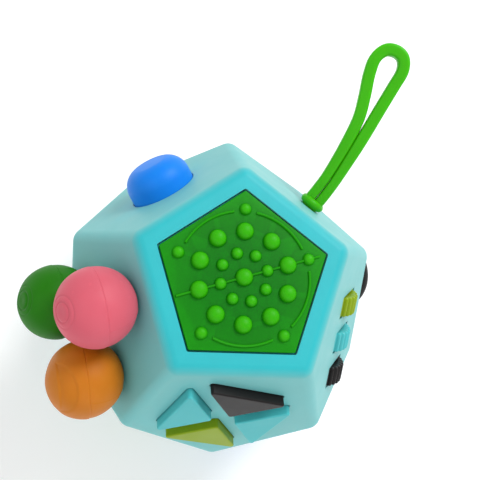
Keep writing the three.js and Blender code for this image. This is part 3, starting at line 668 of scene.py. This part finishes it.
def lower_cuts():
    """The openings of the lower half, listed as the upper half's are."""
    cuts = [("low_back", through(circle(STEM + GAP, 40)), {})]
    slot = rectangle(2 * SLIDE["travel"] + SLIDE["neck"] + 2 * GAP, SLIDE["neck"] + 2 * GAP)
    cuts.append(("low_back_left", through(slot), {}))
    window = rectangle(2 * ROCKER["half"] + 0.8, 14.6, 0.5)
    cuts.append(("low_front_left", through(window), {}))
    cuts.append(("low_front_right", through(circle(DISH["radius"] + GAP, 128)), {}))
    hole = circle(STICK["hole"], 64, STICK["x"], STICK["y"])
    cuts.append(("low_right", through(hole), {}))
    pocket = [(0, 5), (SPIN["outer"] + GAP, 5), (SPIN["outer"] + GAP, -2.7), (7, -2.7), (7, -2),
              (4.3, -2), (4.3, -4.1), (2.9, -4.1), (2.9, -7.3), (1.5, -7.3),
              (1.5, -POST_MEETING - 1), (0, -POST_MEETING - 1)]
    cuts.append(("bottom", turned(pocket, 128), {}))
    return cuts


def make_casing_half(name, node, upper):
    """A hollow half with its posts, which are sunk a little into the wall, and its openings."""
    obj = rounded_casing(name)
    cavity = hull("cavity", [corner_at(t, IN_RADIUS - WALL) for t in corner_triples()])
    combine(obj, [cavity], "DIFFERENCE")
    combine(obj, [half_space("half", upper)], "INTERSECT")
    if upper:
        top = 2 * IN_RADIUS - POST_MEETING - GAP
        posts = [("top", prism(circle(POST, 48), -top, SUNK - WALL))]
        posts.append(("front", moved(prism(circle(1.6, 32), -6.2, SUNK - WALL), KEY_X, KEY_Y)))
        bores = [("top", prism(circle(1.5, 32), -top - 1, -2 * IN_RADIUS + 35), {})]
        bores.append(("front", moved(prism(circle(0.9, 24), -7, -3.2), KEY_X, KEY_Y), {}))
    else:
        posts = [("bottom", prism(circle(14.6, 96), -4.6, SUNK - WALL))]
        posts.append(("bottom", prism(circle(4.6, 48), -10, -4.1)))
        posts.append(("bottom", prism(circle(POST, 48), -POST_MEETING, -9.5)))
        bores = []
    for face, shape in posts:
        combine(obj, [to_object("post", shape, FACES[face])], "UNION")
    cuts = (upper_cuts() if upper else lower_cuts()) + bores
    cutters = [to_object("cut", shape, shifted(FACES[face], **place)) for face, shape, place in cuts]
    combine(obj, cutters, "DIFFERENCE")
    finish_piece(obj, "casing", MATERIALS["casing"], [node])


make_casing_half("casing_upper", "upper_shell", True)
make_casing_half("casing_lower", "lower_shell", False)


# ---------------------------------------------------------------- tactile pad

def dome(radius, height, x, y):
    steps = 9
    profile = [(0, -0.4), (radius + 0.15, -0.4), (radius + 0.12, -0.02), (radius + 0.02, 0.08)]
    for i in range(1, steps + 1):
        angle = math.pi / 2 * i / steps
        profile.append((0 if i == steps else radius * math.cos(angle) ** 0.9,
                        max(0.14, height * math.sin(angle))))
    return moved(turned(profile, 40), x, y)


def ridge(points):
    """A low round-topped rib along a line in the face."""
    points = np.asarray(points, float)
    along = np.gradient(points, axis=0)
    along /= np.linalg.norm(along, axis=1)[:, None]
    across = np.column_stack([along[:, 1], -along[:, 0], np.zeros(len(points))])
    upward = np.tile([0.0, 0.0, 1.0], (len(points), 1))
    angles = np.radians(np.linspace(0, 180, 7))
    half, high = 0.28, 0.4
    crest = [(half * math.cos(a), high * math.sin(a)) for a in angles]
    section = np.array([(half, -0.3)] + crest + [(-half, -0.3)])
    path = np.column_stack([points, np.zeros(len(points))])
    return swept(path, across, upward, [section] * len(points))


def make_pad():
    sheet = to_object("pad", prism(pentagon(PAD_RADIUS, 0.4), -1.2, 0), FACES["top"])
    soften(sheet, 0.18, 50.0, 3)
    domes = [dome(1.65, 1.35, 0, 0)]
    for radius, height, ring, count, start in ((1.65, 1.35, 8.6, 10, 90), (1.12, 0.95, 4.55, 8, 18),
                                               (1.12, 0.95, 12.8, 5, 90)):
        for i in range(count):
            domes.append(dome(radius, height, *polar(ring, start + 360 / count * i)))
    combine(sheet, [to_object("domes", together(domes), FACES["top"])], "UNION")
    arcs = []
    for middle in (54, 126, 270, 342):
        arcs.append(ridge([polar(12.4, middle + a) for a in np.linspace(-26, 26, 44)]))
    combine(sheet, [to_object("arcs", together(arcs), FACES["top"])], "UNION")
    line = ridge([polar(1, 18) * s for s in np.linspace(-12.9, 15.0, 60)])
    combine(sheet, [to_object("line", line, FACES["top"])], "UNION")
    pegs = []
    for i in range(5):
        peg = turned([(0, -4), (1.2, -4), (1.9, -2.9), (1.2, -2.9), (1.2, -1), (0, -1)], 24)
        pegs.append(moved(peg, *polar(PAD_PEG_RING, 90 + 72 * i)))
    combine(sheet, [to_object("pegs", together(pegs), FACES["top"])], "UNION")
    finish_piece(sheet, "casing", MATERIALS["pad_green"], ["touch_pad"])


make_pad()


# ---------------------------------------------------------------- push button

def arc(x, z, radius, first, last, steps):
    """Points (radius, z) of an arc in a turned profile."""
    angles = np.radians(np.linspace(first, last, steps + 1))
    return [(x + radius * math.cos(a), z + radius * math.sin(a)) for a in angles]


def make_push_button():
    radius, height, wall, fillet = (BUTTON[k] for k in ("radius", "height", "wall", "fillet"))
    profile = [(0, -4.1), (1.2, -4.1), (1.2, 4.3), (4.9, 4.3), (4.9, -4.4), (8.2, -4.4),
               (8.2, -2.9), (radius, -2.9), (radius, 0.6)]
    profile += arc(radius - fillet, wall, fillet, 0, 76, 22)
    start = profile[-1]
    for i in range(1, 11):
        share = i / 10
        profile.append((start[0] * (1 - share),
                        start[1] + (height - start[1]) * (1 - (1 - share) ** 2)))
    space = shifted(FACES["back_left"], 0, BUTTON["y"])
    obj = to_object("button_blue", turned(profile, 128), space)
    finish_piece(obj, "push_button", MATERIALS["button_blue"],
                 ["push_button"], 50.0)


make_push_button()


# ---------------------------------------------------------------- balls

def stem_profile(top):
    """The pin that snaps into a clip inside the casing, up to its flat top."""
    return [(0, -5), (STEM, -5), (STEM, CLIP_LOW), (GROOVE, CLIP_LOW), (GROOVE, CLIP_HIGH),
            (STEM, CLIP_HIGH), (STEM, top), (0, top)]


def groove(distance, width, depth):
    return -depth * np.exp(-((distance / width) ** 2))


def inside(distance, soft):
    """1 where distance is below 0 and 0 where it is above, with a soft step between."""
    return 1 / (1 + np.exp(np.clip(distance / soft, -30, 30)))


def apart(directions, axis):
    """Angle in degrees between each direction and an axis."""
    axis = np.array(axis) / np.linalg.norm(axis)
    return np.degrees(np.arccos(np.clip(directions @ axis, -1, 1)))


# Marks of each ball as directions in the left face's own space. The parting line runs round
# the middle of the ball, tilted by how far the ball leans on its stem.
BALL_MARKS = {
    "pink": {"pole": (-0.03, -0.23, 0.97), "motif": (-0.02, 0.18, 0.98),
             "flash": (-0.69, 0.71, 0.13), "nick": (-0.69, -0.34, 0.64)},
    "green": {"pole": (-0.05, -0.12, 0.99), "motif": (-0.19, 0.15, 0.97),
              "flash": (0.6, 0.78, 0.1), "nick": None},
    "orange": {"pole": (-0.13, -0.33, 0.94), "motif": None,
               "flash": (0.7, -0.7, 0.1), "nick": None},
}
LENS_FACET = ((0.063, 0.261, 0.963), 38.0)
LENS_FLAT = ((-0.118, -0.322, 0.939), 45.8)


def ball_relief(directions, marks):
    """Height of the moulding's marks over the plain ball, in each direction."""
    latitude = 90 - apart(directions, marks["pole"])
    relief = 0.045 * np.tanh(latitude / 0.5) + groove(latitude, 0.7, 0.08)
    branch = np.abs(90 - apart(directions, marks["flash"]))
    relief += 0.09 * np.exp(-((branch / 0.55) ** 2)) * inside(latitude, 0.6)
    wave = np.sin(directions @ np.array([3.1, 2.3, 1.7]) * 2.1)
    relief += 0.035 * (wave * np.sin(directions @ (1.9, -3.3, 2.2)))
    if marks["motif"]:
        away = apart(directions, marks["motif"])
        relief += groove(away - 14, 1.6, 0.16) + groove(away - 22.5, 1.3, 0.1)
        relief += groove(away, 6.5, 0.14)
    else:
        edge = apart(directions, LENS_FACET[0]) - LENS_FACET[1]
        flat = LENS_FLAT[1] - apart(directions, LENS_FLAT[0])
        relief -= 0.2 * inside(np.maximum(edge, flat), 0.7)
        relief -= 0.16 * inside(-flat, 3.0) * inside(edge - 22, 6.0)
    if marks["nick"]:
        relief += groove(apart(directions, marks["nick"]), 4.2, 0.55)
    return relief


def ball_grid(pole):
    """Rows of directions round the pole, closest together at the parting line."""
    steps = [(0.8, 72, 0.8), (73, 86.5, 1.1), (87, 93.2, 0.22), (94, 178.5, 1.9)]
    polar_angles = np.radians(np.concatenate([np.arange(*step) for step in steps]))
    around = np.linspace(0, 2 * math.pi, 256, endpoint=False)
    up = np.array(pole) / np.linalg.norm(pole)
    side = np.cross(up, [1.0, 0, 0])
    side /= np.linalg.norm(side)
    other = np.cross(up, side)
    circle_points = np.outer(np.cos(around), side) + np.outer(np.sin(around), other)
    rows = [up * math.cos(a) + circle_points * math.sin(a) for a in polar_angles]
    return up, np.concatenate(rows), len(polar_angles), len(around)


def make_ball(name, index):
    marks = BALL_MARKS[name]
    up, directions, rows, count = ball_grid(marks["pole"])
    directions = np.concatenate([[up], directions, [-up]])
    relief = ball_relief(directions, marks)
    points = directions * (BALL["radius"] + relief)[:, None]
    points[:, 2] = np.maximum(points[:, 2] + BALL["height"], BALL["flat"])
    last = rows * count + 1
    faces = []
    for i in range(count):
        j = (i + 1) % count
        faces.append([0, 1 + i, 1 + j])
        faces.append([last, last - count + j, last - count + i])
        for k in range(rows - 1):
            low = 1 + k * count
            faces.append([low + i, low + count + i, low + count + j, low + j])
    x, y = polar(BALL["ring"], BALL["start"] + 120 * index)
    space = shifted(FACES["left"], x, y)
    shape = together([(points, faces), turned(stem_profile(1.2), 40)])
    obj = to_object(f"rubber_ball_{name}", shape, space)
    slot = f"ball_{name}"
    finish_piece(obj, slot, MATERIALS[slot], [slot], 60.0)


for ball_index, ball_name in enumerate(BALLS):
    make_ball(ball_name, ball_index)


# ---------------------------------------------------------------- corner keys

def make_key(name, index, slot):
    space = shifted(FACES["front"], KEY_X, KEY_Y, 0, KEY["start"] + 90 * index)
    obj = to_object(f"corner_key_{name}", prism(key_outline(0), -3.4, KEY["height"]), space)
    soften(obj, 0.34, 50.0, 5)
    lip = to_object("lip", prism(key_outline(0.8), -4, -WALL - GAP), space)
    trim = to_object("trim", moved(prism(rectangle(9, 13), -5, 0), 8.9), space)
    combine(lip, [trim], "INTERSECT")
    combine(obj, [lip], "UNION")
    finish_piece(obj, f"key_{name}", MATERIALS[slot], [f"key_{name}"])


for key_index, (key_name, key_slot) in enumerate(KEYS):
    make_key(key_name, key_index, key_slot)


# ---------------------------------------------------------------- gear wheels

def woven(rows):
    """A closed ring-shaped mesh from rows of points, each row a loop of equal count."""
    count = len(rows[0])
    verts = np.concatenate(rows)
    faces = []
    for k in range(len(rows)):
        low, high = k * count, (k + 1) % len(rows) * count
        for i in range(count):
            j = (i + 1) % count
            faces.append([low + i, low + j, high + j, high + i])
    return verts, faces


def make_gear(name, index, slot):
    """A knurled wheel with rounded teeth, softened rims and slightly sunk sides."""
    row = shifted(FACES["right"], **GEAR_ROW)
    axle = np.eye(4)
    axle[:3, :3] = [[0, 0, 1], [0, 1, 0], [-1, 0, 0]]
    axle[:3, 3] = (index - 1) * GEAR["pitch"], 0, GEAR["proud"] - GEAR["radius"]
    half = GEAR["width"] / 2
    angles = np.linspace(0, 2 * math.pi, GEAR["teeth"] * 14, endpoint=False)
    wave = 0.5 + 0.5 * np.cos(GEAR["teeth"] * angles)
    rim = GEAR["root"] + (GEAR["radius"] - GEAR["root"]) * wave ** 0.6

    def loop(radius, z):
        return np.column_stack([radius * np.cos(angles), radius * np.sin(angles),
                                np.full(len(angles), z)])
    side = [(np.full(len(angles), 1.3), 1.75), (np.full(len(angles), 4.4), 1.75),
            (np.full(len(angles), 4.7), 1.95), (rim - 0.45, half), (rim - 0.18, half - 0.05),
            (rim - 0.04, half - 0.2), (rim, half - 0.4)]
    rows = [loop(radius, -z) for radius, z in side] + [loop(radius, z) for radius, z in side[::-1]]
    obj = to_object(f"gear_wheel_{name}", woven(rows), row @ axle)
    finish_piece(obj, f"gear_{name}", MATERIALS[slot], [f"gear_{name}"], 50.0)


for gear_index, (gear_name, gear_slot) in enumerate(GEARS):
    make_gear(gear_name, gear_index, gear_slot)


# ---------------------------------------------------------------- strap

def smooth_route(points, per_span=12):
    """A Catmull-Rom curve through the points."""
    points = np.array([points[0], *points, points[-1]], float)
    t = np.linspace(0, 1, per_span, endpoint=False)[:, None]
    spans = []
    for a, b, c, d in zip(points, points[1:], points[2:], points[3:]):
        spans.append(0.5 * (2 * b + (c - a) * t + (2 * a - 5 * b + 4 * c - d) * t ** 2
                            + (3 * b - a - 3 * c + d) * t ** 3))
    return np.concatenate(spans + [points[-1:]])


def make_strap():
    line = smooth_route(STRAP_ROUTE)
    along = np.gradient(line, axis=0)
    along /= np.linalg.norm(along, axis=1)[:, None]
    outward = np.column_stack([-along[:, 1], along[:, 0]])
    rise = np.clip((line[:, 1] - 2) / 14, 0, 1)
    thick = 2.08 + 0.42 * rise * rise * (3 - 2 * rise)
    path = np.column_stack([line[:, 0], np.zeros(len(line)), line[:, 1]])
    across = np.column_stack([outward[:, 0], np.zeros(len(line)), outward[:, 1]])
    upward = np.tile([0.0, 1.0, 0.0], (len(line), 1))
    section = []
    for t in thick:
        section.append(rounded_outline([(t / 2, STRAP["width"] / 2), (-t / 2, STRAP["width"] / 2),
                                        (-t / 2, -STRAP["width"] / 2),
                                        (t / 2, -STRAP["width"] / 2)], 0.62, 4))
    space = shifted(FACES["back_right"], STRAP["x"], STRAP["y"], STRAP["pivot"])
    path[0, 2] = path[-1, 2] = STRAP["top"] - STRAP["pivot"] - 0.4
    obj = to_object("strap_band", swept(path, across, upward, section), space)
    finish_piece(obj, None, MATERIALS["strap"], ["strap_loop"], 60.0)
    base = shifted(FACES["back_right"], STRAP["x"], STRAP["y"])
    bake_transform(obj)
    foot = stem_profile(0.3)[:-1] + arc(1.75, 1.2, 0.95, -90, 90, 14) + [(0, 2.15)]
    flange = to_object("strap_flange", turned(foot, 64), base)
    finish_piece(flange, "casing", MATERIALS["strap"], ["strap_foot"], 50.0)


make_strap()


# ---------------------------------------------------------------- joystick

def make_joystick():
    """A rubber mushroom on a stem, with a soft bead round its rim and a hollow top."""
    radius, round_edge, height = (STICK[k] for k in ("radius", "round", "height"))
    bore = STICK["stem"] + GAP
    neck, low = STICK["neck"], STICK["bottom"]
    profile = [(0, STICK["socket"]), (bore, STICK["socket"]), (bore, low), (neck - 0.3, low),
               (neck, low + 0.3), (neck - 0.05, 4.4), (neck, STICK["neck_top"])]
    profile += arc(neck + 1.3, STICK["neck_top"] + 0.1, 1.3, 170, 100, 5)
    profile += arc(radius - round_edge, height, round_edge, -80, 78, 30)
    profile += [(6.6, 12.9), (6.0, 12.72), (5.2, 12.5), (4.0, 12.25), (2.4, 12.07), (0, 12)]
    space = shifted(FACES["low_right"], STICK["x"], STICK["y"])
    obj = to_object("joystick_dome", turned(profile, 96), space)
    finish_piece(obj, "joystick", MATERIALS["black_rubber"], ["joystick_cap"], 40.0)


make_joystick()


# ---------------------------------------------------------------- toys on the hidden faces

def make_dial():
    radius, low, high = DIAL["radius"], DIAL["low"], DIAL["high"]
    profile = [(0, low), (radius - 0.5, low)] + arc(radius - 0.5, low + 0.5, 0.5, -90, 0, 6)
    profile += arc(radius - 0.9, high - 0.9, 0.9, 0, 90, 8) + [(6.2, high)]
    profile += [(5.6, high - 0.15), (4.8, high - 0.6), (3.5, high - 0.9), (0, high - 1)]
    obj = to_object("dial_knob", turned(profile, 128), FACES["low_back"])
    notches = []
    for i in range(DIAL["notches"]):
        x, y = polar(radius + 0.5, 360 / DIAL["notches"] * i)
        notches.append(prism(circle(1.1, 32, x, y), -1, 5))
    combine(obj, [to_object("notches", together(notches), FACES["low_back"])], "DIFFERENCE")
    stem = to_object("stem", turned(stem_profile(1), 40), FACES["low_back"])
    combine(obj, [stem], "UNION")
    soften(obj, 0.2, 45.0, 3)
    finish_piece(obj, "spin_dial", MATERIALS["dial_orange"], ["spin_dial"])


def make_slider():
    knob, neck = SLIDE["knob"], SLIDE["neck"]
    face = FACES["low_back_left"]
    obj = to_object("slide_grip", prism(rectangle(knob, 6.8, 1.0), 0.35, 2.4), face)
    soften(obj, 0.35, 50.0, 4)
    ribs = [moved(prism(rectangle(0.6, 5.4, 0.25), 1.8, 2.9), x) for x in (-1.6, 0, 1.6)]
    combine(obj, [to_object("ribs", together(ribs), face)], "UNION")
    combine(obj, [to_object("neck", prism(rectangle(neck, neck), -4.6, 1), face)], "UNION")
    soften(obj, 0.12, 60.0, 2)
    finish_piece(obj, "slide_knob", MATERIALS["slider_pink"], ["slide_knob"])


def make_rocker():
    radius, pivot, half = ROCKER["radius"], ROCKER["pivot"], ROCKER["half"]
    side = [polar(radius, a) + np.array([0, pivot]) for a in np.linspace(-15, 35, 14)]
    outline = side + [np.array([0, 0.9])] + [p * np.array([-1, 1]) for p in side[::-1]]
    verts, faces = prism(outline, -half, half)
    obj = to_object("rocker_cap", (verts[:, [2, 0, 1]], faces), FACES["low_front_left"])
    bore = prism(circle(ROCKER["pin"] + GAP, 40, 0, pivot), -6, 6)
    hole = to_object("hole", (bore[0][:, [2, 0, 1]], bore[1]), FACES["low_front_left"])
    combine(obj, [hole], "DIFFERENCE")
    soften(obj, 0.4, 30.0, 4)
    finish_piece(obj, "rocker", MATERIALS["lime"], ["rocker"])


def make_dish():
    radius, depth, rim = DISH["radius"], DISH["depth"], DISH["rim"]
    profile = [(0, CLIP_LOW), (12.2, CLIP_LOW), (12.2, CLIP_HIGH), (radius, CLIP_HIGH)]
    profile.append((radius, rim - 0.4))
    profile += arc(radius - 0.4, rim - 0.4, 0.4, 10, 90, 5)
    for share in np.linspace(0.99, 0.0, 26):
        profile.append(((radius - 0.5) * share, rim - depth * (1 - share ** 2)))
    obj = to_object("thumb_rest", turned(profile, 128), FACES["low_front_right"])
    finish_piece(obj, "casing", MATERIALS["button_blue"], ["thumb_dish"], 50.0)


def make_spin_ring():
    inner, outer = SPIN["inner"], SPIN["outer"]
    profile = [(inner, -2.4), (outer, -2.4), (outer, -0.9)]
    profile += arc(outer - 0.5, -0.9, 0.5, 0, 90, 6) + arc(9.2, -0.7, 0.3, 90, 180, 4)
    profile += [(8.9, -1.3), (inner, -1.3)]
    obj = to_object("spin_wheel", turned(profile, 128), FACES["bottom"])
    grips = [prism(circle(0.9, 28, *polar(11, 45 * i)), -1.2, 1) for i in range(8)]
    combine(obj, [to_object("grips", together(grips), FACES["bottom"])], "DIFFERENCE")
    soften(obj, 0.12, 50.0, 2)
    finish_piece(obj, "spin_ring", MATERIALS["ring_green"], ["spin_ring"])
    hub = [(0, -3.8), (4, -3.8), (4, -1.7), (6.6, -1.7), (6.6, -1), (SPIN["hub"], -1)]
    hub += arc(SPIN["hub"] - 0.25, -0.25, 0.25, 0, 90, 4) + [(0, 0)]
    cap = to_object("hub_cap", turned(hub, 96), FACES["bottom"])
    finish_piece(cap, "casing", MATERIALS["casing"], ["spin_hub"], 40.0)


make_dial()
make_slider()
make_rocker()
make_dish()
make_spin_ring()


# ---------------------------------------------------------------- springs and inner parts

def make_spring(name, node, space, radius, wire, low, high, turns):
    """A coil that stands on the casing, under the part that presses it."""
    steps = int(turns * 40)
    t = np.linspace(0, 1, steps + 1)
    angle = 2 * math.pi * turns * t
    path = np.column_stack([radius * np.cos(angle), radius * np.sin(angle),
                            low + wire + (high - low - 2 * wire) * t])
    across = np.column_stack([np.cos(angle), np.sin(angle), np.zeros(steps + 1)])
    upward = np.tile([0.0, 0.0, 1.0], (steps + 1, 1))
    shape = swept(path, across, upward, [circle(wire, 12)] * (steps + 1))
    obj = to_object(name, shape, space)
    finish_piece(obj, None, MATERIALS["steel"], [node], 60.0)
    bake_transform(obj)


BUTTON_SPACE = shifted(FACES["back_left"], 0, BUTTON["y"])
make_spring("button_coil", "button_spring", BUTTON_SPACE, 3.5, 0.32, -7.3, 4.1, 5)
STICK_SPACE = shifted(FACES["low_right"], STICK["x"], STICK["y"])
make_spring("joystick_coil", "joystick_spring", STICK_SPACE,
            2.8, 0.25, -9.6, -7.9, 2.5)

# The inner parts that no piece above replaces are the CAD's own, painted by their slots
slot_of = {part["node"]: part["material_slot"] for part in frame["record"]["subparts"]}
for node_name, node in frame["nodes"].items():
    if node.hide_render:
        continue
    for material_slot in node.material_slots:
        material_slot.material = MATERIALS[slot_of[node_name]]


# ---------------------------------------------------------------- floor, light and camera

def make_floor():
    bpy.ops.mesh.primitive_plane_add(size=6.0, location=(0, 0, 0))
    floor = bpy.context.object
    floor.name = "floor"
    n = Nodes("floor_paper")
    base = n.ramp(n.noise(9.0), [(0.3, (0.93, 0.93, 0.93)), (0.7, (0.96, 0.96, 0.96))])
    n.link(base, n.shader.inputs["Base Color"])
    n.shader.inputs["Roughness"].default_value = 0.85
    n.shader.inputs["Emission Color"].default_value = (1, 1, 1, 1)
    n.shader.inputs["Emission Strength"].default_value = 0.12
    floor.data.materials.append(n.material)


def add_area(name, place, target, size, power, colour=(1, 1, 1)):
    light = bpy.data.lights.new(name, "AREA")
    light.shape, light.size, light.energy, light.color = "DISK", size, power, colour
    lamp = bpy.data.objects.new(name, light)
    lamp.location = place
    aim = Vector(target) - Vector(place)
    lamp.rotation_euler = aim.to_track_quat("-Z", "Y").to_euler()
    bpy.context.scene.collection.objects.link(lamp)


# The camera looks steeply down at the pad, from a little to the front left
CAMERA = {"azimuth": 230.39, "elevation": 73.81, "distance": 149.28, "roll": 41.96, "lens": 49.02}
CAMERA_TARGET = Vector((4.25, 13.12, IN_RADIUS)) * MM


def make_camera():
    camera = bpy.data.cameras.new("camera")
    camera.sensor_width = 36.0
    camera.lens = CAMERA["lens"]
    camera.clip_start = 0.01
    obj = bpy.data.objects.new("camera", camera)
    around, above = math.radians(CAMERA["azimuth"]), math.radians(CAMERA["elevation"])
    back = Vector((math.cos(above) * math.cos(around), math.cos(above) * math.sin(around),
                   math.sin(above)))
    turn = (-back).to_track_quat("-Z", "Y").to_matrix().to_4x4()
    roll = Matrix.Rotation(math.radians(CAMERA["roll"]), 4, "Z")
    place = Matrix.Translation(CAMERA_TARGET + back * CAMERA["distance"] * MM)
    obj.matrix_world = place @ turn @ roll
    bpy.context.scene.collection.objects.link(obj)
    bpy.context.scene.camera = obj


make_floor()
target = (0, 0, IN_RADIUS * MM)
add_area("key_light", (0.28, 0.34, 0.55), target, 0.3, 3.0)
add_area("fill_light", (-0.4, -0.1, 0.5), target, 0.5, 0.5)
add_area("front_light", (0.1, -0.5, 0.35), target, 0.5, 0.8)
world = bpy.data.worlds.new("studio")
world.use_nodes = True
world.node_tree.nodes["Background"].inputs["Color"].default_value = (1, 1, 1, 1)
world.node_tree.nodes["Background"].inputs["Strength"].default_value = 0.6
bpy.context.scene.world = world
bpy.context.scene.view_settings.view_transform = "Standard"
make_camera()
